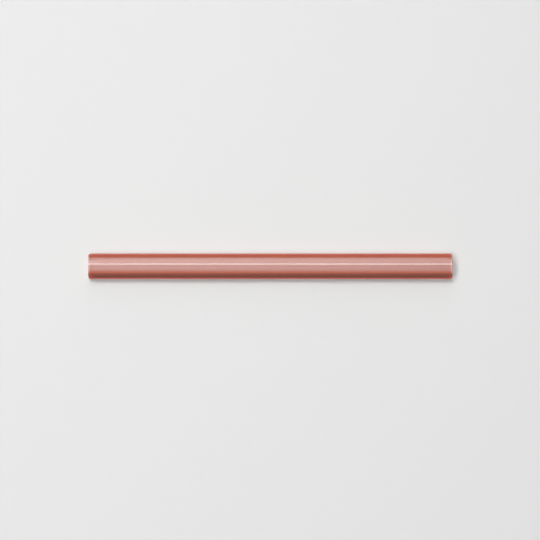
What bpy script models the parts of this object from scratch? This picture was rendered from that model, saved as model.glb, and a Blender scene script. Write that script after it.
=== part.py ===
"""Glazed omega moulding: a slim ceramic trim strip with a raised bead between two narrow feet.

The strip lies along X with its glazed face up (+Z) and its back on the plane z = 0, centred on the
origin. Half of its section is drawn from arcs and mirrored, the section is drawn out along X, and both
ends are rounded over. Keying grooves for the adhesive are then sunk into the back.
"""

import math

import bmesh
import bpy

# The strip and its bead, in metres. The bead rises from the feet with sloping sides and a flat crown arc.
LENGTH = 0.2000
BEAD_WIDTH = 0.0130
SIDE_HEIGHT = 0.0020
SIDE_DRAFT = math.radians(45.0)
CROWN_RISE = 0.0009
SHOULDER_RADIUS = 0.0024

# The feet: narrow flat ledges along both sides of the bead.
FOOT_WIDTH = 0.0005
FOOT_HEIGHT = 0.0051
COVE_RADIUS = 0.00025
FOOT_EDGE_RADIUS = 0.00020
BACK_EDGE_RADIUS = 0.0004

# The ends: the rounding of the corners seen from above, and of the upper edge seen from the side. The bead
# runs on straight to the end, because a point takes a share of the corner's draw that is this power of its
# share of the half width.
CORNER_RADIUS = 0.0015
CORNER_POWER = 4
END_EDGE_RADIUS = 0.0004

# The keying grooves in the back, with the plain margin left at each end.
GROOVE_COUNT = 4
GROOVE_PITCH = 0.0028
GROOVE_WIDTH = 0.0013
GROOVE_DEPTH = 0.0006
GROOVE_END_MARGIN = 0.0060

# A fillet takes up at most this share of the wall or ledge that it rounds, and a corner at most this share
# of the half width.
FILLET_SHARE = 0.45
CORNER_SHARE = 0.22

# How finely the round stretches are drawn.
CROWN_STEPS = 12
SHOULDER_STEPS = 8
COVE_STEPS = 4
EDGE_STEPS = 4
END_STEPS = 7
GROOVE_END_STEPS = 8

# How far a cutter starts outside the face that it cuts, and how close two points are to be one.
CUTTER_OVERRUN = 0.0005
WELD_DISTANCE = 0.000001

GLAZE_COLOUR = (0.37, 0.08, 0.05, 1.0)
GLAZE_ROUGHNESS = 0.06

WIDTH = BEAD_WIDTH + 2 * FOOT_WIDTH
HEIGHT = FOOT_HEIGHT + SIDE_HEIGHT + CROWN_RISE
QUARTER_TURN = math.pi / 2


def clear_scene():
    """Removes every object that the scene holds."""
    for obj in list(bpy.data.objects):
        bpy.data.objects.remove(obj, do_unlink=True)


def new_collection(name):
    """Adds a collection to the scene."""
    collection = bpy.data.collections.new(name)
    bpy.context.scene.collection.children.link(collection)
    return collection


def glaze():
    """The fired glaze: glossy, in a warm dusty red."""
    material = bpy.data.materials.new("glaze")
    material.use_nodes = True
    shader = material.node_tree.nodes["Principled BSDF"]
    shader.inputs["Base Color"].default_value = GLAZE_COLOUR
    shader.inputs["Roughness"].default_value = GLAZE_ROUGHNESS
    shader.inputs["Metallic"].default_value = 0.0
    return material


def arc(centre, radius, start, end, steps):
    """Points (y, z) of an arc, whose angle runs from straight up (0) towards +Y (a quarter turn)."""
    points = []
    for step in range(steps + 1):
        angle = start + (end - start) * step / steps
        points.append((centre[0] + radius * math.sin(angle), centre[1] + radius * math.cos(angle)))
    return points


def bead_outline():
    """Half of the bead, from the crown over the shoulder and down the side to the cove at the foot.

    The side is a line through the corner of bead and foot that leans in from the upright by its draft. The
    crown arc passes through the bead's top and through that line at the height where the side ends, and the
    shoulder is a fillet that touches both.
    """
    cove_radius = min(COVE_RADIUS, FILLET_SHARE * FOOT_WIDTH)
    line = BEAD_WIDTH / 2 * math.cos(SIDE_DRAFT) + FOOT_HEIGHT * math.sin(SIDE_DRAFT)
    half_chord = BEAD_WIDTH / 2 - SIDE_HEIGHT * math.tan(SIDE_DRAFT)
    crown_radius = (half_chord ** 2 + CROWN_RISE ** 2) / (2 * CROWN_RISE)
    crown_z = HEIGHT - crown_radius

    side_angle = QUARTER_TURN - SIDE_DRAFT
    bend = side_angle - math.asin(half_chord / crown_radius)
    shoulder_limit = 2 * FILLET_SHARE * (SIDE_HEIGHT - cove_radius) / math.tan(bend / 2)
    shoulder_radius = min(SHOULDER_RADIUS, shoulder_limit)
    offset = crown_radius - shoulder_radius
    reach = line - shoulder_radius - crown_z * math.sin(SIDE_DRAFT)
    turn = math.asin(reach / offset) - SIDE_DRAFT
    shoulder = (offset * math.sin(turn), crown_z + offset * math.cos(turn))

    cove_z = FOOT_HEIGHT + cove_radius
    cove_y = (line + cove_radius - cove_z * math.sin(SIDE_DRAFT)) / math.cos(SIDE_DRAFT)
    crown = arc((0.0, crown_z), crown_radius, 0.0, turn, CROWN_STEPS)
    rounded = arc(shoulder, shoulder_radius, turn, side_angle, SHOULDER_STEPS)
    cove = arc((cove_y, cove_z), -cove_radius, side_angle, 0.0, COVE_STEPS)
    return crown + rounded[1:] + cove


def foot_outline():
    """Half of the base, from the foot's rounded outer edge down to the back's edge."""
    upper_radius = min(FOOT_EDGE_RADIUS, FILLET_SHARE * FOOT_WIDTH)
    lower_radius = min(BACK_EDGE_RADIUS, FILLET_SHARE * FOOT_HEIGHT)
    upper = (WIDTH / 2 - upper_radius, FOOT_HEIGHT - upper_radius)
    lower = (WIDTH / 2 - lower_radius, lower_radius)
    top = arc(upper, upper_radius, 0.0, QUARTER_TURN, EDGE_STEPS)
    bottom = arc(lower, lower_radius, QUARTER_TURN, 2 * QUARTER_TURN, EDGE_STEPS)
    return top + bottom


def section_outline():
    """The whole section as a ring of (y, z) points: one half, then the same half mirrored."""
    half = bead_outline() + foot_outline()
    mirrored = [(-y, z) for y, z in reversed(half)]
    return half + mirrored[:-1]


def stations():
    """The sections' places along the strip, close together where the ends are rounded."""
    rounded = max(CORNER_RADIUS, END_EDGE_RADIUS)
    left = []
    for step in range(END_STEPS + 1):
        left.append(rounded * (1 - math.cos(QUARTER_TURN * step / END_STEPS)) - LENGTH / 2)
    return left + [-x for x in reversed(left)]


def drawn_in(distance, radius):
    """How far a quarter-round edge has drawn in at a distance from the end of the strip."""
    depth = min(max(radius - distance, 0.0), radius)
    return radius - math.sqrt(radius ** 2 - depth ** 2)


def round_ends(bm):
    """Rounds both ends: the corners seen from above, and the upper edge seen from the side."""
    half_width = WIDTH / 2
    corner_radius = min(CORNER_RADIUS, CORNER_SHARE * half_width)
    for vert in bm.verts:
        distance = LENGTH / 2 - abs(vert.co.x)
        share = (abs(vert.co.y) / half_width) ** CORNER_POWER
        vert.co.y -= math.copysign(drawn_in(distance, corner_radius) * share, vert.co.y)
        vert.co.z *= 1 - drawn_in(distance, END_EDGE_RADIUS) / HEIGHT


def strip_mesh():
    """The strip without its grooves: the section is drawn out from end to end, and the ends are rounded."""
    bm = bmesh.new()
    x, *rest = stations()
    caps = [bm.faces.new([bm.verts.new((x, y, z)) for y, z in section_outline()])]
    for next_x in rest:
        drawn = bmesh.ops.extrude_face_region(bm, geom=caps[-1:])["geom"]
        verts = [item for item in drawn if isinstance(item, bmesh.types.BMVert)]
        caps += [item for item in drawn if isinstance(item, bmesh.types.BMFace)]
        bmesh.ops.translate(bm, vec=(next_x - x, 0.0, 0.0), verts=verts)
        x = next_x
    bmesh.ops.delete(bm, geom=caps[1:-1], context="FACES_ONLY")
    round_ends(bm)
    bmesh.ops.recalc_face_normals(bm, faces=bm.faces)
    mesh = bpy.data.meshes.new("moulding")
    bm.to_mesh(mesh)
    bm.free()
    mesh.shade_smooth()
    mesh.set_sharp_from_angle(angle=math.radians(30.0))
    return mesh


def groove_curve():
    """A groove's outline in the plane of the back, with round ends, as a curve with thickness."""
    end_radius = GROOVE_WIDTH / 2
    end_x = LENGTH / 2 - GROOVE_END_MARGIN - end_radius
    right = arc((end_x, 0.0), end_radius, 0.0, 2 * QUARTER_TURN, GROOVE_END_STEPS)
    left = arc((-end_x, 0.0), end_radius, 2 * QUARTER_TURN, 4 * QUARTER_TURN, GROOVE_END_STEPS)
    curve = bpy.data.curves.new("groove_outline", "CURVE")
    curve.dimensions = "2D"
    curve.fill_mode = "BOTH"
    curve.extrude = (GROOVE_DEPTH + CUTTER_OVERRUN) / 2
    spline = curve.splines.new("POLY")
    spline.points.add(len(right + left) - 1)
    for point, (across, along) in zip(spline.points, right + left):
        point.co = (across, along, 0.0, 1.0)
    spline.use_cyclic_u = True
    return bpy.data.objects.new("groove_outline", curve)


def groove_mesh(collection):
    """The groove curve as one closed mesh that a Boolean can cut with."""
    outline = groove_curve()
    collection.objects.link(outline)
    evaluated = outline.evaluated_get(bpy.context.evaluated_depsgraph_get())
    mesh = bpy.data.meshes.new_from_object(evaluated)
    bpy.data.objects.remove(outline, do_unlink=True)
    bm = bmesh.new()
    bm.from_mesh(mesh)
    bmesh.ops.remove_doubles(bm, verts=bm.verts, dist=WELD_DISTANCE)
    bmesh.ops.recalc_face_normals(bm, faces=bm.faces)
    bm.to_mesh(mesh)
    bm.free()
    return mesh


def sink_grooves(moulding, collection):
    """Cuts the keying grooves into the back, side by side about the strip's middle."""
    mesh = groove_mesh(collection)
    for index in range(GROOVE_COUNT):
        cutter = bpy.data.objects.new(f"groove_cutter_{index + 1}", mesh)
        cutter.location.y = (index - (GROOVE_COUNT - 1) / 2) * GROOVE_PITCH
        cutter.location.z = (GROOVE_DEPTH - CUTTER_OVERRUN) / 2
        cutter.hide_render = True
        cutter.display_type = "WIRE"
        collection.objects.link(cutter)
        cut = moulding.modifiers.new(f"groove_{index + 1}", "BOOLEAN")
        cut.operation = "DIFFERENCE"
        cut.object = cutter


def main():
    """Builds the moulding."""
    clear_scene()
    parts = new_collection("omega_moulding")
    cutters = new_collection("groove_cutters")
    mesh = strip_mesh()
    mesh.materials.append(glaze())
    moulding = bpy.data.objects.new("moulding", mesh)
    parts.objects.link(moulding)
    sink_grooves(moulding, cutters)


main()
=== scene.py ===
"""The finish of a glazed omega moulding, and the pale studio in which it is seen from straight above.

The strip lies along X with its glazed face up (+Z) and its back on the floor. Its skin is one closed grid: a
section of arcs and lines carried along X, drawn in at the rounded ends, with keying grooves in the back.
The fired glaze and the bare biscuit share one material, which tells them apart by values that the grid holds.
"""

import logging
import math
from dataclasses import dataclass
from enum import Enum

import bpy
import numpy as np
from mathutils import Matrix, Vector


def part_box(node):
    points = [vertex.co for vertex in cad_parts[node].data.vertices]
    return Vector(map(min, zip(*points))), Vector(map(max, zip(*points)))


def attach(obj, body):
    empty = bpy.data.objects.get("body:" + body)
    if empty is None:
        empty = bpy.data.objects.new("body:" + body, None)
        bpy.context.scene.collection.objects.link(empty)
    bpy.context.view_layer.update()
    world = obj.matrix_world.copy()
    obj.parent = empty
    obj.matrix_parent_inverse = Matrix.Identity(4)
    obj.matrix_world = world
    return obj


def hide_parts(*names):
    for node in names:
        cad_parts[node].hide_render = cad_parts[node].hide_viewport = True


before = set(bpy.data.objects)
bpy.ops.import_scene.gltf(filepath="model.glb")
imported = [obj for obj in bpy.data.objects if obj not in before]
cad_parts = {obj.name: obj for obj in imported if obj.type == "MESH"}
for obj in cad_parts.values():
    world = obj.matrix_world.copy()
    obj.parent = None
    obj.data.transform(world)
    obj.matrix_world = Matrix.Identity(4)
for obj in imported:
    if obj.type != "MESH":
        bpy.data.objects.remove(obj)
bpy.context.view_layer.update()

log = logging.getLogger("omega_moulding")

MILLIMETRE = 0.001
QUARTER_TURN = math.pi / 2
WHITE = (1.0, 1.0, 1.0, 1.0)

# How finely the section is drawn: the points of each of its arcs and straight stretches.
CROWN_POINTS = 34
SHOULDER_POINTS = 26
SIDE_POINTS = 7
COVE_POINTS = 9
FOOT_EDGE_POINTS = 10
WALL_POINTS = 26
BACK_EDGE_POINTS = 8
BACK_LINES = 16

# How finely the strip is drawn along its length: the stations of each half, and the rows that close an end.
ROUNDED_STATIONS = 20
PLAIN_STATIONS = 7
GROOVE_END_STATIONS = 12
MIDDLE_STATIONS = 84
CLOSING_ROWS = 12

# The flat ends close on a point at this share of the feet's height. The traits fade out towards it by this
# power of the rows' draw.
END_MIDDLE_SHARE = 0.8
END_FADE_POWER = 6

# A point lower than this is on the flat back, lines across the back that agree to these decimals are one,
# and a normal shorter than this has no direction.
BACK_TOLERANCE = 0.00001
LINE_DECIMALS = 7
SMALLEST_NORMAL = 1e-12

# A spot is gone where its cell's chance is this much above the share of cells that hold one.
SPOT_CHANCE_EDGE = 0.01

Colour = tuple[float, float, float]


class Trait(Enum):
    """A value that the grid holds at each point, under the name that the material reads."""

    REACH = "glaze_reach"
    # Painted light: a lighter red on the +Y slope, which faces the lamps, and on the -Y shoulder.
    PAINTED_LIGHT = "painted_light"
    # A paler crown rim at the ends: the glaze thins on the arris, and a reflection is painted over it.
    THIN_GLAZE_AND_REFLECTION = "thin_glaze_and_reflection"
    # Painted shade darkening the -Y slope, and deeper glaze gathered in the hollows.
    SHADE_AND_POOL = "hollow"
    # Painted light: a brighter red on the foot ledges and on the ends' low corners, where the lamps catch
    # them.
    LIT_FOOT = "foot"


class Ray(Enum):
    """The kinds of ray that see the pale background instead of the dim ambient light."""

    CAMERA = "Is Camera Ray"
    GLOSSY = "Is Glossy Ray"
    TRANSMISSION = "Is Transmission Ray"


# Surfaces


def smooth_step(value: np.ndarray) -> np.ndarray:
    """Rises from 0 to 1 with level ends as the value goes from 0 to 1: 3 v^2 - 2 v^3."""
    held = np.clip(value, 0.0, 1.0)
    return held * held * (3.0 - 2.0 * held)


def arc(centre: tuple[float, float], radius: float, start: float, end: float, count: int) -> np.ndarray:
    """An arc in the section's plane: centre + radius (sin a, cos a), with a from straight up towards +Y.

    Args:
        centre: The centre's y and z.
        radius: The radius, negative where the surface curls inwards.
        start: The first angle in radians.
        end: The last angle in radians.
        count: How many points, both ends among them.

    Returns:
        The points as rows of y and z.
    """
    angle = np.linspace(start, end, count)
    return np.stack([centre[0] + radius * np.sin(angle), centre[1] + radius * np.cos(angle)], axis=1)


def straight(start: np.ndarray, end: np.ndarray, count: int) -> np.ndarray:
    """A straight stretch without its end points, as rows of y and z: start + t (end - start)."""
    share = np.linspace(0.0, 1.0, count + 2)[1:-1, None]
    return start + share * (end - start)


def drawn_in(distance: np.ndarray, radius: float) -> np.ndarray:
    """How far a quarter-round edge has drawn in at a distance from the end: r - sqrt(r^2 - (r - d)^2)."""
    depth = np.clip(radius - distance, 0.0, None)
    return radius - np.sqrt(radius**2 - depth**2)


@dataclass(frozen=True)
class Waves:
    """An uneven surface as a sum of long waves, each with a direction, a length and a phase of its own.

    The height at (u, v) is the sum of cos(2 pi (u cos d + v sin d) / length + phase), scaled so that its
    spread is about the amplitude.
    """

    amplitude: float
    shortest: float
    longest: float
    seed: int
    count: int = 14

    def height(self, along: np.ndarray, across: np.ndarray) -> np.ndarray:
        """The height of the waves at each point.

        Args:
            along: Distances along the strip in metres.
            across: Distances round its section in metres.

        Returns:
            Heights in metres, one for each point.
        """
        chance = np.random.default_rng(self.seed)
        length = np.exp(chance.uniform(math.log(self.shortest), math.log(self.longest), self.count))
        turn = chance.uniform(0.0, math.pi, self.count)
        phase = chance.uniform(0.0, 2.0 * math.pi, self.count)
        reach = along[..., None] * np.cos(turn) + across[..., None] * np.sin(turn)
        waves = np.cos(2.0 * math.pi * reach / length + phase)
        return self.amplitude * waves.sum(axis=-1) * math.sqrt(2.0 / self.count)


@dataclass(frozen=True)
class Onset:
    """A place where something sets in along a measure, and the distance over which it grows to its full."""

    start: float
    over: float

    def share(self, measure: np.ndarray) -> np.ndarray:
        """How far the measure is past the onset, from 0 to 1: the smooth step of (m - start) / over."""
        return smooth_step((measure - self.start) / self.over)


@dataclass(frozen=True)
class BeadSection:
    """Half of the section's outline: crown, shoulder, side, cove and foot, and the wall below the foot.

    The side is a line that leans in by the draft from the corner where bead and foot meet. The crown arc
    passes through the top and through that line at the height where the side ends, and the shoulder is a
    fillet that touches both.
    """

    width: float
    height: float
    foot_width: float = 0.0005
    side_height: float = 0.0020
    side_draft: float = math.radians(45.0)
    crown_rise: float = 0.0009
    shoulder_radius: float = 0.0024
    cove_radius: float = 0.00022
    foot_edge_radius: float = 0.00020
    back_edge_radius: float = 0.0004

    @property
    def foot_height(self) -> float:
        """The height of the foot's upper face above the back."""
        return self.height - self.side_height - self.crown_rise

    def bead(self) -> np.ndarray:
        """The bead from the crown to the cove's end on the foot.

        With b half the bead's width and h the crown's rise, the crown's radius is (c^2 + h^2) / 2 h, where
        c = b - side height * tan(draft) is half the chord. The shoulder's centre lies the crown's radius
        less its own from the crown's centre, and its own radius inside the side's line. The cove's centre
        lies the cove's radius above the foot and outside that line.

        Returns:
            The points as rows of y and z.
        """
        half_bead = self.width / 2 - self.foot_width
        lean, upright = math.sin(self.side_draft), math.cos(self.side_draft)
        line = half_bead * upright + self.foot_height * lean
        half_chord = half_bead - self.side_height * math.tan(self.side_draft)
        crown_radius = (half_chord**2 + self.crown_rise**2) / (2 * self.crown_rise)
        crown_z = self.height - crown_radius

        offset = crown_radius - self.shoulder_radius
        turn = math.asin((line - self.shoulder_radius - crown_z * lean) / offset) - self.side_draft
        side_angle = QUARTER_TURN - self.side_draft
        shoulder = (offset * math.sin(turn), crown_z + offset * math.cos(turn))
        cove_z = self.foot_height + self.cove_radius
        cove_y = (line + self.cove_radius - cove_z * lean) / upright

        crown = arc((0.0, crown_z), crown_radius, 0.0, turn, CROWN_POINTS)
        rounded = arc(shoulder, self.shoulder_radius, turn, side_angle, SHOULDER_POINTS)
        cove = arc((cove_y, cove_z), -self.cove_radius, side_angle, 0.0, COVE_POINTS)
        side = straight(rounded[-1], cove[0], SIDE_POINTS)
        return np.concatenate([crown, rounded[1:], side, cove])

    def base(self) -> np.ndarray:
        """The foot's outer edge, the wall below it and the back's edge: two quarter rounds and a line.

        Returns:
            The points as rows of y and z.
        """
        half_width = self.width / 2
        upper = (half_width - self.foot_edge_radius, self.foot_height - self.foot_edge_radius)
        lower = (half_width - self.back_edge_radius, self.back_edge_radius)
        top = arc(upper, self.foot_edge_radius, 0.0, QUARTER_TURN, FOOT_EDGE_POINTS)
        bottom = arc(lower, self.back_edge_radius, QUARTER_TURN, 2 * QUARTER_TURN, BACK_EDGE_POINTS)
        return np.concatenate([top, straight(top[-1], bottom[0], WALL_POINTS), bottom])


@dataclass(frozen=True)
class KeyGrooves:
    """Round-ended grooves in the back that key the strip into its adhesive.

    A wall slopes inwards over its width, and the grid's lines stand at shares of that width.
    """

    count: int = 4
    pitch: float = 0.0028
    width: float = 0.0013
    depth: float = 0.0006
    end_margin: float = 0.0060
    wall: float = 0.00018
    wall_shares: tuple[float, ...] = (-0.3, 0.0, 0.33, 0.67, 1.0, 1.6)

    def centres(self) -> np.ndarray:
        """The y of each groove's centre line."""
        return (np.arange(self.count) - (self.count - 1) / 2) * self.pitch

    def lines(self, half_width: float) -> np.ndarray:
        """The y of the grid's lines across the back, close together where a groove has its walls.

        Args:
            half_width: Half of the flat back's width.

        Returns:
            The lines from +Y to -Y, without those at the back's edges.
        """
        walls = self.width / 2 - self.wall * np.array(self.wall_shares)
        near = np.concatenate([-walls, [0.0], walls])
        plain = np.linspace(-half_width, half_width, BACK_LINES)[1:-1]
        found = np.concatenate([(self.centres()[:, None] + near).ravel(), plain])
        return np.unique(found.round(LINE_DECIMALS))[::-1]

    def sunk(self, x: np.ndarray, y: np.ndarray, length: float) -> np.ndarray:
        """How deep the back is sunk: the depth times a smooth step of (w/2 - distance to centre line) / wall.

        Args:
            x: Places along the strip.
            y: Places across it.
            length: The strip's length.

        Returns:
            The depth at each place.
        """
        end = length / 2 - self.end_margin - self.width / 2
        past_end = np.clip(np.abs(x) - end, 0.0, None)
        aside = np.abs(y[..., None] - self.centres()).min(axis=-1)
        return self.depth * smooth_step((self.width / 2 - np.hypot(past_end, aside)) / self.wall)


@dataclass(frozen=True)
class GlazeLightShadeAndDepth:
    """Painted light and shade round the section, and how deep the glaze gathers, as shares from 0 to 1.

    Painted light lightens the +Y slope, down to the foot, and the -Y shoulder. Painted shade darkens the -Y
    slope, in two stages, and the glaze gathers deeper in the hollows. An onset with a height in its name
    goes by z, and the others by the distance from the middle.
    """

    # Painted light on the +Y slope and the -Y shoulder.
    lit_slope: Onset = Onset(0.0043, 0.0006)
    lit_slope_height: Onset = Onset(0.0047, 0.0003)
    lit_slope_most: float = 0.8
    lit_shoulder: Onset = Onset(0.0015, 0.0009)
    lit_shoulder_end: Onset = Onset(0.0037, 0.0008)
    # Painted shade on the -Y slope, in two stages; the hollows' share is deeper glaze.
    shaded_slope: Onset = Onset(0.0039, 0.0010)
    shaded_slope_share: float = 0.6
    darkest_slope: Onset = Onset(0.0050, 0.0006)
    shaded_slope_end: Onset = Onset(0.0058, 0.0006)
    deep_hollow_most: float = 0.3
    gather_width: float = 0.00022
    full_bend_radius: float = 0.00035

    def painted_light(self, y: np.ndarray, z: np.ndarray) -> np.ndarray:
        """Where light is painted: the products of its onsets, summed over the +Y slope and the -Y shoulder.

        Args:
            y: The y of each place round the section.
            z: Its z.

        Returns:
            For each place a value from 0 to 1.
        """
        slope = self.lit_slope_most * self.lit_slope.share(y) * self.lit_slope_height.share(z)
        shoulder = self.lit_shoulder.share(-y) * (1.0 - self.lit_shoulder_end.share(-y))
        return slope + shoulder

    def painted_shade_and_pool(self, y: np.ndarray, bend: np.ndarray) -> np.ndarray:
        """Painted shade on the -Y slope and deeper glaze in the hollows: the larger of the slope's share and
        the hollows'.

        Args:
            y: The y of each place round the section.
            bend: How sharply the section turns in there, per metre.

        Returns:
            For each place a value from 0 to 1.
        """
        first = self.shaded_slope_share * self.shaded_slope.share(-y)
        second = (1.0 - self.shaded_slope_share) * self.darkest_slope.share(-y)
        slope = (first + second) * (1.0 - self.shaded_slope_end.share(-y))
        return np.maximum(slope, self.deep_hollow_most * smooth_step(bend * self.full_bend_radius))


@dataclass
class OmegaMoulding:
    """The fired strip, in one piece: its skin as one closed grid, and its finish.

    The corners draw in by a power of each point's share of the half width. At the ends there is a narrow rim
    on the crown, where the glaze thins on the arris and a reflection is painted, and a wider one below it,
    where light is painted on the low corners. Each fades over a share of its width, and the height, leaning
    with y, tells which one holds. The glaze's cover and its waves set in by its reach in millimetres. The
    waves of its lower edge are waves_across times as close across the strip as along it.
    """

    length: float
    section: BeadSection
    grooves: KeyGrooves = KeyGrooves()
    corner_radius: float = 0.0015
    corner_power: int = 4
    end_edge_radius: float = 0.0004
    # The crown rim: thinner glaze on the arris, with a painted reflection.
    crown_rim: float = 0.0013
    # The low rim: painted light on the ends' low corners.
    lit_low_rim: float = 0.0038
    lit_low_rim_most: float = 0.8
    rim_fade: float = 0.9
    on_crown: Onset = Onset(0.0060, 0.0014)
    crown_lean: float = 0.12
    on_top: Onset = Onset(0.0045, 0.0004)
    on_foot: Onset = Onset(-0.00005, 0.00010)
    glaze_line: float = 0.0009
    glaze_thickness: float = 0.00010
    glaze_light_shade_and_depth: GlazeLightShadeAndDepth = GlazeLightShadeAndDepth()
    glaze_waves: Waves = Waves(amplitude=0.0000025, shortest=0.010, longest=0.040, seed=5)
    line_waves: Waves = Waves(amplitude=0.00018, shortest=0.007, longest=0.040, seed=11)
    waves_across: float = 1.3
    reach_limit: float = 0.002
    full_cover: Onset = Onset(-0.15, 0.30)
    full_waves: Onset = Onset(0.0, 0.80)

    def ring(self) -> np.ndarray:
        """The whole section as one ring, from the crown round by +Y, the back and -Y.

        It is the half-outline, the lines across the back at z = 0, and the half-outline mirrored.

        Returns:
            The ring's points as rows of y and z.
        """
        half = np.concatenate([self.section.bead(), self.section.base()])
        flat = self.section.width / 2 - self.section.back_edge_radius
        across = self.grooves.lines(flat)
        back = np.stack([across, np.zeros_like(across)], axis=1)
        other = half[:0:-1] * [-1.0, 1.0]
        return np.concatenate([half, back, other])

    def distances(self) -> np.ndarray:
        """The stations of one half: close together at the rounded end and at the grooves' ends.

        Returns:
            Their distances from the nearer end, out of the quarter round of 1 - cos and three even runs.
        """
        rounded = max(self.corner_radius, self.end_edge_radius)
        groove_end = self.grooves.end_margin
        turned = groove_end + self.grooves.width / 2
        return np.concatenate(
            [
                rounded * (1.0 - np.cos(np.linspace(0.0, QUARTER_TURN, ROUNDED_STATIONS))),
                np.linspace(rounded, groove_end - self.grooves.wall, PLAIN_STATIONS)[1:-1],
                np.linspace(groove_end - self.grooves.wall, turned, GROOVE_END_STATIONS),
                np.linspace(turned, self.length / 2, MIDDLE_STATIONS)[1:],
            ]
        )

    def rows(self) -> tuple[np.ndarray, np.ndarray, np.ndarray]:
        """Each row of the grid along the strip, the closing rows on both flat ends included.

        Returns:
            The rows' x, how far the corners and the upper edge draw in there, in metres, and how far each
            row is drawn to the middle of the section, from 1 (not at all) to 0 (a single point).
        """
        distance = self.distances()
        edges = [drawn_in(distance, radius) for radius in (self.corner_radius, self.end_edge_radius)]
        closing = np.linspace(0.0, 1.0, CLOSING_ROWS)[:-1]
        x = np.concatenate([np.full(closing.size, -self.length / 2), distance - self.length / 2])
        drawn = np.concatenate([closing, np.ones(distance.size)])
        draws = np.stack(edges, axis=1)
        draws = np.concatenate([np.repeat(draws[:1], closing.size, axis=0), draws])
        mirrored = slice(-2, None, -1)
        return (
            np.concatenate([x, -x[mirrored]]),
            np.concatenate([draws, draws[mirrored]]),
            np.concatenate([drawn, drawn[mirrored]]),
        )

    def grid(self) -> np.ndarray:
        """The skin's points before its unevenness: the ring at each row, drawn in where the ends are rounded.

        A point's y draws in by the corner's draw times a high power of its share of the half width, so that
        the bead runs on straight to the end. Its z shrinks with the draw of the upper edge.

        Returns:
            The points, as rows along the strip by places round the section by x, y and z.
        """
        y, z = self.ring().T
        x, draws, drawn = self.rows()
        share = np.abs(2.0 * y / self.section.width) ** self.corner_power
        across = y - np.sign(y) * share * draws[:, :1]
        up = z * (1.0 - draws[:, 1:] / self.section.height)
        middle = np.array([0.0, self.section.foot_height * END_MIDDLE_SHARE])
        around = middle + (np.stack([across, up], axis=2) - middle) * drawn[:, None, None]
        along = np.broadcast_to(x[:, None, None], (x.size, y.size, 1))
        points = np.concatenate([along, around], axis=2)
        on_back = (points[..., 2] < BACK_TOLERANCE) & (drawn[:, None] == 1.0)
        points[..., 2] += on_back * self.grooves.sunk(points[..., 0], points[..., 1], self.length)
        return points

    def outward(self, points: np.ndarray) -> np.ndarray:
        """Unit normals of the grid: the cross product of its steps along the strip and round the section.

        Args:
            points: The grid's points.

        Returns:
            For each point the normal, which points out of the strip.
        """
        around = np.roll(points, -1, axis=1) - np.roll(points, 1, axis=1)
        along = np.gradient(points, axis=0)
        normal = np.cross(along, around)
        size = np.linalg.norm(normal, axis=2, keepdims=True)
        return normal / np.maximum(size, SMALLEST_NORMAL)

    def around_length(self) -> np.ndarray:
        """The distance round the section from the crown to each place on the ring."""
        step = np.linalg.norm(np.diff(self.ring(), axis=0), axis=1)
        return np.concatenate([[0.0], np.cumsum(step)])

    def bend(self) -> np.ndarray:
        """How sharply the section turns in at each place.

        The turning angle at each place is shared out over its neighbours with a bell curve, so that a
        tight hollow counts over the width in which the glaze gathers.

        Returns:
            For each place the bend per metre, positive in hollows and negative on edges.
        """
        ring = self.ring()
        ahead = np.roll(ring, -1, axis=0) - ring
        behind = np.roll(ahead, 1, axis=0)
        cross = behind[:, 0] * ahead[:, 1] - behind[:, 1] * ahead[:, 0]
        turning = np.arctan2(cross, (behind * ahead).sum(axis=1))
        place = self.around_length()
        total = place[-1] + np.linalg.norm(ring[-1] - ring[0])
        apart = np.abs(place[:, None] - place)
        apart = np.minimum(apart, total - apart)
        spread = self.glaze_light_shade_and_depth.gather_width
        bell = np.exp(-0.5 * (apart / spread) ** 2) / (spread * math.sqrt(2.0 * math.pi))
        return bell @ turning

    def reach(self, points: np.ndarray) -> np.ndarray:
        """How far each point lies above the glaze's wavy lower edge: z less the line's height there.

        Args:
            points: The grid's points.

        Returns:
            For each point the height in millimetres, negative where the biscuit is bare.
        """
        x, y, z = np.moveaxis(points, 2, 0)
        line = self.glaze_line + self.line_waves.height(x, self.waves_across * y)
        return np.clip(z - line, -self.reach_limit, self.reach_limit) / MILLIMETRE

    def from_middle(self) -> np.ndarray:
        """For each row 1 along the strip, and less towards its flat ends' middles: a power of its draw."""
        return self.rows()[2][:, None] ** END_FADE_POWER

    def end_rim(self, width: float) -> np.ndarray:
        """How much each row belongs to a rim at an end: the pale crown rim, or the low rim of painted light.

        Args:
            width: The rim's width.

        Returns:
            For each row the smooth step of (width - distance from the end) / (fade * width), from 0 to 1.
        """
        from_end = self.length / 2 - np.abs(self.rows()[0])
        fade = smooth_step((width - from_end) / (self.rim_fade * width))
        return fade[:, None] * self.from_middle()

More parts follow.
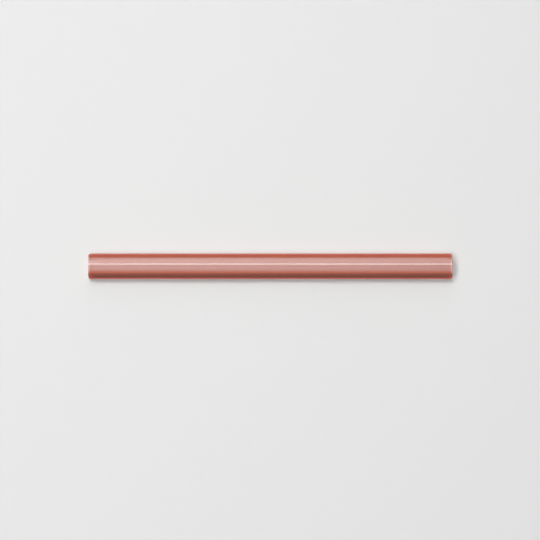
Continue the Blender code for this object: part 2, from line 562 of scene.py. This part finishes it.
    def traits(self, points: np.ndarray) -> dict[Trait, np.ndarray]:
        """The values that the material reads at each point.

        The end edge is the crown rim's share times how far the point is on the crown, where the glaze thins
        and a reflection is painted. The lit foot is painted light on the ledge outside the bead, or on the
        low rim where that is more. What goes by the section alone fades out towards the middles of the flat
        ends.

        Args:
            points: The grid's points.

        Returns:
            For each trait, its value at every point of the grid.
        """
        y, z = self.ring().T
        from_middle = self.from_middle()
        on_top = self.on_top.share(z)
        on_crown = self.on_crown.share(points[..., 2] + self.crown_lean * points[..., 1])
        lit_low_rim = self.lit_low_rim_most * self.end_rim(self.lit_low_rim) * (1.0 - on_crown) * on_top
        aside = np.abs(y) - (self.section.width / 2 - self.section.foot_width)
        foot = self.on_foot.share(aside) * on_top
        return {
            Trait.REACH: self.reach(points),
            Trait.PAINTED_LIGHT: from_middle * self.glaze_light_shade_and_depth.painted_light(y, z),
            Trait.THIN_GLAZE_AND_REFLECTION: self.end_rim(self.crown_rim) * on_crown,
            Trait.SHADE_AND_POOL: from_middle * self.glaze_light_shade_and_depth.painted_shade_and_pool(y, self.bend()),
            Trait.LIT_FOOT: np.maximum(from_middle * foot, lit_low_rim),
        }

    def uneven(self, points: np.ndarray, reach: np.ndarray) -> np.ndarray:
        """The grid with the glaze's own unevenness and the step down to the bare biscuit.

        Glazed points move along their normals by the waves. Bare ones draw in by the glaze's thickness
        across the strip and along it.

        Args:
            points: The grid's points.
            reach: How far each lies above the glaze's lower edge, in millimetres.

        Returns:
            The moved points.
        """
        around = np.broadcast_to(self.around_length(), points.shape[:2])
        rise = self.glaze_waves.height(points[..., 0], around) * self.full_waves.share(reach)
        moved = points + self.outward(points) * rise[..., None]
        half = np.array([self.length / 2, self.section.width / 2])
        bare = 1.0 - self.full_cover.share(reach)
        moved[..., :2] *= 1.0 - self.glaze_thickness * bare[..., None] / half
        return moved

    def build(self) -> bpy.types.Object:
        """Makes the strip's mesh, with the traits on its points.

        Returns:
            The strip's object, linked to the scene.
        """
        points = self.grid()
        traits = self.traits(points)
        points = self.uneven(points, traits[Trait.REACH])
        mesh = skin_mesh("glazed_moulding", points)
        for trait, values in traits.items():
            inner = values[1:-1].ravel()
            found = np.concatenate([inner, values[:1, 0], values[-1:, 0]])
            layer = mesh.attributes.new(trait.value, "FLOAT", "POINT")
            layer.data.foreach_set("value", found.astype(np.float32))
        piece = bpy.data.objects.new("glazed_moulding", mesh)
        bpy.context.scene.collection.objects.link(piece)
        return piece

    def dress(self, piece: bpy.types.Object, finish: "FiredFinish") -> None:
        """Gives the strip its finish, and sets it on its body in place of the plain solid.

        Args:
            piece: The strip's object.
            finish: The finish that it takes.
        """
        piece.data.materials.append(finish.material())
        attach(piece, "root")
        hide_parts("moulding")


def skin_mesh(name: str, points: np.ndarray) -> bpy.types.Mesh:
    """A closed mesh from a grid whose first and last rows are single points.

    Each four neighbours, a row on and a place on, make a face that looks outwards, and the ring closes on
    itself. The first and last rows become one point each, joined to their neighbours by a fan of triangles.

    Args:
        name: The mesh's name.
        points: Rows along the strip by places round the section by x, y and z.

    Returns:
        The mesh, shaded smooth.
    """
    rows, places = points.shape[0] - 2, points.shape[1]
    poles = rows * places + np.arange(2)
    verts = np.concatenate([points[1:-1].reshape(-1, 3), points[:1, 0], points[-1:, 0]])
    index = np.arange(rows * places).reshape(rows, places)
    ahead = np.roll(index, -1, axis=1)
    quads = np.stack([index[:-1], index[1:], ahead[1:], ahead[:-1]], axis=2).reshape(-1, 4)
    first = np.stack([np.full(places, poles[0]), index[0], ahead[0]], axis=1)
    last = np.stack([np.full(places, poles[1]), ahead[-1], index[-1]], axis=1)
    fans = np.concatenate([first, last])
    corners = np.concatenate([quads.ravel(), fans.ravel()])
    sizes = np.concatenate([np.full(len(quads), 4), np.full(len(fans), 3)])

    mesh = bpy.data.meshes.new(name)
    mesh.vertices.add(len(verts))
    mesh.vertices.foreach_set("co", verts.astype(np.float32).ravel())
    mesh.loops.add(len(corners))
    mesh.loops.foreach_set("vertex_index", corners.astype(np.int32))
    mesh.polygons.add(len(sizes))
    mesh.polygons.foreach_set("loop_start", (np.cumsum(sizes) - sizes).astype(np.int32))
    mesh.update(calc_edges=True)
    mesh.validate()
    mesh.shade_smooth()
    return mesh


# Finishes


class Value:
    """A number that varies over a surface, written as maths: each operator adds its Math node."""

    def __init__(self, bench: "Bench", socket: bpy.types.NodeSocket) -> None:
        """Wraps a socket of the bench's node tree."""
        self.bench = bench
        self.socket = socket

    def maths(self, operation: str, first: "Feed", second: "Feed") -> "Value":
        """A Math node on two values."""
        node = self.bench.node("ShaderNodeMath", {"operation": operation}, {0: first, 1: second})
        return Value(self.bench, node.outputs[0])

    def __add__(self, other: "Feed") -> "Value":
        """self + other."""
        return self.maths("ADD", self, other)

    def __radd__(self, other: "Feed") -> "Value":
        """other + self."""
        return self.maths("ADD", other, self)

    def __sub__(self, other: "Feed") -> "Value":
        """self - other."""
        return self.maths("SUBTRACT", self, other)

    def __rsub__(self, other: "Feed") -> "Value":
        """other - self."""
        return self.maths("SUBTRACT", other, self)

    def __mul__(self, other: "Feed") -> "Value":
        """self * other."""
        return self.maths("MULTIPLY", self, other)

    def __rmul__(self, other: "Feed") -> "Value":
        """other * self."""
        return self.maths("MULTIPLY", other, self)

    def larger(self, other: "Feed") -> "Value":
        """The larger of self and other."""
        return self.maths("MAXIMUM", self, other)

    def step(self, low: float, high: float) -> "Value":
        """Rises smoothly from 0 to 1 as the value goes from low to high, also where low is the larger.

        Args:
            low: The value at which the step is 0.
            high: The value at which it is 1.

        Returns:
            The step.
        """
        node = self.bench.node(
            "ShaderNodeMapRange",
            {"interpolation_type": "SMOOTHSTEP"},
            {"Value": self, "From Min": low, "From Max": high},
        )
        return Value(self.bench, node.outputs["Result"])


Feed = float | tuple | Value | bpy.types.NodeSocket


class Bench:
    """A node tree under construction, with the few ways of adding nodes that the finishes need."""

    def __init__(self, tree: bpy.types.NodeTree) -> None:
        """Empties the tree."""
        tree.nodes.clear()
        self.tree = tree

    def node(self, kind: str, settings: dict[str, object], sockets: dict[str | int, Feed]) -> bpy.types.Node:
        """Adds a node.

        Args:
            kind: The node's type.
            settings: Its settings, which are set before its sockets.
            sockets: What each input takes, by name or number: a number, a colour or a link.

        Returns:
            The new node.
        """
        node = self.tree.nodes.new(kind)
        for name, value in settings.items():
            setattr(node, name, value)
        for key, feed in sockets.items():
            source = feed.socket if isinstance(feed, Value) else feed
            if isinstance(source, bpy.types.NodeSocket):
                self.tree.links.new(source, node.inputs[key])
            else:
                node.inputs[key].default_value = source
        return node

    def trait(self, trait: Trait) -> Value:
        """The value that the grid holds under a trait's name."""
        node = self.node("ShaderNodeAttribute", {"attribute_name": trait.value}, {})
        return Value(self, node.outputs["Fac"])

    def place(self) -> bpy.types.NodeSocket:
        """The place on the piece, in metres."""
        return self.node("ShaderNodeTexCoord", {}, {}).outputs["Object"]

    def clouds(self, size: float, detail: float = 2.0, roughness: float = 0.5) -> Value:
        """Soft noise about 0.5.

        Args:
            size: How far apart its clouds are, in metres.
            detail: How many finer octaves it has.
            roughness: How strong the finer ones are.

        Returns:
            The noise.
        """
        sockets = {"Vector": self.place(), "Scale": 1.0 / size, "Detail": detail, "Roughness": roughness}
        return Value(self, self.node("ShaderNodeTexNoise", {}, sockets).outputs["Fac"])

    def spots(self, spacing: float, radius: float, share: float) -> Value:
        """Scattered round spots, 1 at their middles and 0 between them.

        Args:
            spacing: How far apart the places for spots are, in metres.
            radius: A spot's radius in metres.
            share: The share of those places that holds one.

        Returns:
            The spots.
        """
        cells = self.node("ShaderNodeTexVoronoi", {}, {"Vector": self.place(), "Scale": 1.0 / spacing})
        near = Value(self, cells.outputs["Distance"]).step(radius / spacing, 0.0)
        chance = self.node("ShaderNodeSeparateColor", {}, {"Color": cells.outputs["Color"]})
        return near * Value(self, chance.outputs[0]).step(share + SPOT_CHANCE_EDGE, share)

    def blend(self, factor: Feed, low: Feed, high: Feed) -> bpy.types.NodeSocket:
        """A colour between two.

        Args:
            factor: How far it lies from the first towards the second, from 0 to 1.
            low: The first colour.
            high: The second colour.

        Returns:
            The blended colour.
        """
        pair = [(*feed, 1.0) if isinstance(feed, tuple) else feed for feed in (low, high)]
        sockets = {0: factor, 6: pair[0], 7: pair[1]}
        return self.node("ShaderNodeMix", {"data_type": "RGBA"}, sockets).outputs[2]


@dataclass(frozen=True)
class Glaze:
    """A glossy dusty red glaze, with painted light on the +Y slope, the -Y shoulder and the feet, painted
    shade on the -Y slope, a deeper red where it gathers in hollows, and pale on the end edges, where it thins
    and a reflection is painted.

    Lengths are in metres, and the peel's height and the pinholes' depth in millimetres.
    """

    body: Colour = (0.322, 0.073, 0.041)
    warm: Colour = (0.340, 0.078, 0.043)
    # Painted light: the lighter red for the +Y slope and the -Y shoulder.
    bright: Colour = (0.410, 0.076, 0.033)
    # Pale: thinner glaze with a painted reflection on the ends' crown rim, and the rim at the glaze's lower
    # edge.
    pale: Colour = (0.620, 0.380, 0.330)
    # Painted shade on the -Y slope, and the deeper red of glaze gathered in the hollows.
    deep: Colour = (0.235, 0.040, 0.018)
    # Painted light: a brighter red on the foot ledges and the ends' low corners.
    foot: Colour = (0.490, 0.074, 0.042)
    cloud_size: float = 0.006
    cloud_range: tuple[float, float] = (0.35, 0.65)
    rim_cover: float = 0.75
    rim_cloud_cover: float = 0.5
    rim_cloud_size: float = 0.0009
    roughness: float = 0.07
    foot_roughness: float = 0.45
    softer_shine: float = 0.04
    shine_cloud_size: float = 0.004
    shine_cloud_range: tuple[float, float] = (0.45, 0.75)
    peel_height: float = 0.0008
    peel_size: float = 0.0011
    pinhole_depth: float = 0.03
    pinhole_radius: float = 0.00016
    pinhole_spacing: float = 0.006
    pinhole_share: float = 0.25

    def colour(self, bench: Bench) -> bpy.types.NodeSocket:
        """The glaze's colour: the body with soft clouds of a warmer red, blended by the traits.

        The traits paint light on the +Y slope, the -Y shoulder and the feet, paint shade on the -Y slope,
        deepen the glaze in the hollows, and pale the end edges, where the glaze thins and a reflection is
        painted.

        Args:
            bench: The node tree that it is made in.

        Returns:
            The colour.
        """
        warmth = bench.clouds(self.cloud_size, detail=3.0).step(*self.cloud_range)
        mottled = bench.blend(warmth, self.body, self.warm)
        with_painted_light = bench.blend(bench.trait(Trait.PAINTED_LIGHT), mottled, self.bright)
        with_shade_and_pool = bench.blend(bench.trait(Trait.SHADE_AND_POOL), with_painted_light, self.deep)
        patchy = self.rim_cover + self.rim_cloud_cover * bench.clouds(self.rim_cloud_size)
        rimmed = bench.blend(bench.trait(Trait.THIN_GLAZE_AND_REFLECTION) * patchy, with_shade_and_pool, self.pale)
        return bench.blend(bench.trait(Trait.LIT_FOOT), rimmed, self.foot)

    def gloss(self, bench: Bench) -> Value:
        """The glaze's roughness: faint clouds of a softer shine, blended into dull feet.

        Args:
            bench: The node tree that it is made in.

        Returns:
            The roughness.
        """
        softness = bench.clouds(self.shine_cloud_size).step(*self.shine_cloud_range)
        shine = self.roughness + self.softer_shine * softness
        return shine + bench.trait(Trait.LIT_FOOT) * (self.foot_roughness - shine)

    def relief(self, bench: Bench) -> Value:
        """The glaze's height in millimetres: a faint orange peel, and a few pinholes."""
        pinholes = bench.spots(self.pinhole_spacing, self.pinhole_radius, self.pinhole_share)
        return self.peel_height * bench.clouds(self.peel_size, detail=1.0) - self.pinhole_depth * pinholes


@dataclass(frozen=True)
class Biscuit:
    """The bare fired body: cream, matt and faintly sandy, with its relief's height in millimetres."""

    body: Colour = (0.66, 0.50, 0.36)
    sandy: Colour = (0.56, 0.41, 0.28)
    grain: Colour = (0.36, 0.25, 0.18)
    cloud_size: float = 0.007
    cloud_range: tuple[float, float] = (0.3, 0.7)
    grain_spacing: float = 0.0007
    grain_radius: float = 0.00018
    grain_share: float = 0.35
    roughness: float = 0.85
    relief_height: float = 0.03
    relief_size: float = 0.00035

    def colour(self, bench: Bench) -> bpy.types.NodeSocket:
        """The biscuit's colour: soft clouds of a sandier tone, and scattered dark grains.

        Args:
            bench: The node tree that it is made in.

        Returns:
            The colour.
        """
        sandiness = bench.clouds(self.cloud_size, detail=3.0).step(*self.cloud_range)
        clouded = bench.blend(sandiness, self.body, self.sandy)
        grains = bench.spots(self.grain_spacing, self.grain_radius, self.grain_share)
        return bench.blend(grains, clouded, self.grain)

    def relief(self, bench: Bench) -> Value:
        """The biscuit's height in millimetres: fine grain."""
        return self.relief_height * bench.clouds(self.relief_size, detail=3.0, roughness=0.6)


@dataclass(frozen=True)
class FiredFinish:
    """The whole strip's finish: glaze above its lower edge, biscuit below it and on the back.

    The glaze's lower edge is ragged and hard, with a paler rim. Heights above its line are in millimetres,
    and the size of its ragged patches is in metres.
    """

    glaze: Glaze = Glaze()
    biscuit: Biscuit = Biscuit()
    index_of_refraction: float = 1.5
    raggedness: float = 0.12
    ragged_size: float = 0.0008
    half_edge: float = 0.05
    rim_top: float = 0.30
    rim_bottom: float = 0.02
    rim_paleness: float = 0.55

    def material(self) -> bpy.types.Material:
        """Makes the material, which tells glaze and biscuit apart by the grid's glaze reach.

        Colour, roughness and height each go from the biscuit's to the glaze's by the glaze's cover.

        Returns:
            The material.
        """
        material = bpy.data.materials.new("fired_glaze_and_biscuit")
        material.use_nodes = True
        bench = Bench(material.node_tree)
        ragged = bench.trait(Trait.REACH) + self.raggedness * (bench.clouds(self.ragged_size) - 0.5)
        cover = ragged.step(-self.half_edge, self.half_edge)
        rim = ragged.step(self.rim_top, self.rim_bottom)
        glaze = bench.blend(rim * self.rim_paleness, self.glaze.colour(bench), self.glaze.pale)
        colour = bench.blend(cover, self.biscuit.colour(bench), glaze)
        gloss = self.glaze.gloss(bench)
        roughness = self.biscuit.roughness + cover * (gloss - self.biscuit.roughness)
        bare = self.biscuit.relief(bench)
        height = bare + cover * (self.glaze.relief(bench) - bare)
        bump = bench.node("ShaderNodeBump", {}, {"Height": height, "Distance": MILLIMETRE})
        shader = bench.node(
            "ShaderNodeBsdfPrincipled",
            {},
            {
                "Base Color": colour,
                "Roughness": roughness,
                "Normal": bump.outputs["Normal"],
                "IOR": self.index_of_refraction,
            },
        )
        bench.node("ShaderNodeOutputMaterial", {}, {"Surface": shader.outputs["BSDF"]})
        return material


# Studio


@dataclass(frozen=True)
class SoftPanel:
    """A flat panel of soft light that faces the strip from a distance.

    Its angles are in degrees from straight above: low and high towards +Y, left and right towards +X.
    """

    name: str
    low: float
    high: float
    radiance: float
    left: float = -5.0
    right: float = 5.0
    distance: float = 8.0

    def build(self) -> None:
        """Adds the lamp, which faces the origin.

        Each side is 2 * distance * tan(half of its angle), and the energy is radiance * pi * area.
        """
        rise = math.radians((self.low + self.high) / 2)
        aside = math.radians((self.left + self.right) / 2)
        towards = np.array([math.tan(aside), math.sin(rise), math.cos(rise)])
        towards /= np.linalg.norm(towards)
        upwards = np.cross(towards, [1.0, 0.0, 0.0])
        upwards /= np.linalg.norm(upwards)
        sideways = np.cross(upwards, towards)
        lamp = bpy.data.lights.new(self.name, "AREA")
        lamp.shape = "RECTANGLE"
        lamp.size = 2 * self.distance * math.tan(math.radians(self.right - self.left) / 2)
        lamp.size_y = 2 * self.distance * math.tan(math.radians(self.high - self.low) / 2)
        lamp.energy = self.radiance * math.pi * lamp.size * lamp.size_y
        panel = bpy.data.objects.new(self.name, lamp)
        turned = np.eye(4)
        turned[:3, :3] = np.stack([sideways, upwards, towards], axis=1)
        turned[:3, 3] = towards * self.distance
        panel.matrix_world = Matrix(turned.tolist())
        panel.visible_camera = False
        bpy.context.scene.collection.objects.link(panel)


@dataclass(frozen=True)
class Studio:
    """The pale floor, the dim ambient light and the soft panels.

    Each panel gives its name, low, high and radiance, and where they aren't the usual ones its left, right
    and distance.
    """

    floor_size: float = 3.0
    floor_drop: float = 0.00002
    floor_colour: Colour = (0.758, 0.762, 0.758)
    floor_roughness: float = 0.9
    floor_specular: float = 0.2
    background: float = 0.82
    ambient: float = 0.03
    panels: tuple[SoftPanel, ...] = (
        SoftPanel("panel_far", 38.0, 80.0, 4.8),
        SoftPanel("panel_upper", 15.0, 38.0, 6.1),
        SoftPanel("panel_line", 9.0, 15.0, 14.8),
        SoftPanel("panel_near", -18.0, 9.0, 4.75),
        SoftPanel("panel_fade_1", -27.0, -18.0, 3.6),
        SoftPanel("panel_fade_2", -36.0, -27.0, 1.5),
        SoftPanel("panel_left_1", -18.0, 38.0, 0.4, -5.0, -2.8),
        SoftPanel("panel_left_2", -18.0, 38.0, 0.4, -5.0, 0.0),
        SoftPanel("panel_left_3", -18.0, 38.0, 0.4, -5.0, 2.8),
        SoftPanel("soft_box_upper", 15.0, 31.0, 14.7, -23.0, -7.5, 1.8),
        SoftPanel("soft_box_lower", -18.0, 0.0, 8.7, -30.0, -14.0, 1.8),
    )

    def floor(self) -> None:
        """Adds the floor, a square just under the strip's back."""
        half = self.floor_size / 2
        corners = np.array([[-1, -1], [1, -1], [1, 1], [-1, 1]]) * half
        verts = np.concatenate([corners, np.full((4, 1), -self.floor_drop)], axis=1)
        mesh = bpy.data.meshes.new("studio_floor")
        mesh.from_pydata(verts.tolist(), [], [(0, 1, 2, 3)])
        material = bpy.data.materials.new("pale_floor")
        material.use_nodes = True
        bench = Bench(material.node_tree)
        sockets = {
            "Base Color": (*self.floor_colour, 1.0),
            "Roughness": self.floor_roughness,
            "Specular IOR Level": self.floor_specular,
        }
        shader = bench.node("ShaderNodeBsdfPrincipled", {}, sockets)
        bench.node("ShaderNodeOutputMaterial", {}, {"Surface": shader.outputs["BSDF"]})
        mesh.materials.append(material)
        floor = bpy.data.objects.new("studio_floor", mesh)
        bpy.context.scene.collection.objects.link(floor)

    def surroundings(self) -> None:
        """Adds the world: dim ambient light, and a pale background for the rays that see it as a picture."""
        world = bpy.data.worlds.new("studio")
        bpy.context.scene.world = world
        world.use_nodes = True
        bench = Bench(world.node_tree)
        path = bench.node("ShaderNodeLightPath", {}, {})
        seen = Value(bench, path.outputs[Ray.CAMERA.value])
        for ray in (Ray.GLOSSY, Ray.TRANSMISSION):
            seen = seen.larger(Value(bench, path.outputs[ray.value]))
        strength = self.ambient + (self.background - self.ambient) * seen
        sockets = {"Color": WHITE, "Strength": strength}
        shine = bench.node("ShaderNodeBackground", {}, sockets)
        bench.node("ShaderNodeOutputWorld", {}, {"Surface": shine.outputs["Background"]})

    def build(self) -> None:
        """Adds the floor, the world and every panel."""
        self.floor()
        self.surroundings()
        for panel in self.panels:
            panel.build()
        bpy.context.scene.view_settings.view_transform = "Standard"


@dataclass(frozen=True)
class ViewFromAbove:
    """The camera straight above, framed so that the strip has its place and size in the picture.

    The picture is 540 pixels square. The strip's ends are 364.8 pixels apart in it, and its middle is at
    the pixel given, counted from the upper left corner.
    """

    picture: float = 540.0
    strip_pixels: float = 364.8
    middle: tuple[float, float] = (270.3, 266.25)
    lens: float = 200.0
    sensor: float = 36.0

    def build(self, low: np.ndarray, high: np.ndarray) -> None:
        """Adds the camera.

        A pixel is the strip's length over its pixels. The camera stands above the crown by the picture's
        width there times lens / sensor, and aside by the pixels between the strip's middle and the
        picture's.

        Args:
            low: The strip's lowest corner.
            high: The strip's highest corner.
        """
        length = high[0] - low[0]
        centre = (low + high) / 2
        pixel = length / self.strip_pixels
        camera = bpy.data.cameras.new("view_from_above")
        camera.lens = self.lens
        camera.sensor_width = self.sensor
        viewer = bpy.data.objects.new("view_from_above", camera)
        viewer.location = (
            centre[0] - (self.middle[0] - self.picture / 2) * pixel,
            centre[1] + (self.middle[1] - self.picture / 2) * pixel,
            high[2] + self.picture * pixel * self.lens / self.sensor,
        )
        bpy.context.scene.collection.objects.link(viewer)
        bpy.context.scene.camera = viewer


def main() -> None:
    logging.basicConfig(level=logging.INFO, format="%(message)s")
    low, high = (np.array(corner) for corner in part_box("moulding"))
    length, width, height = (high - low).tolist()
    strip = OmegaMoulding(length, BeadSection(width, height))
    piece = strip.build()
    strip.dress(piece, FiredFinish())
    log.info("%s: %d points, %d faces", piece.name, len(piece.data.vertices), len(piece.data.polygons))
    Studio().build()
    ViewFromAbove().build(low, high)


if __name__ == "__main__":
    main()
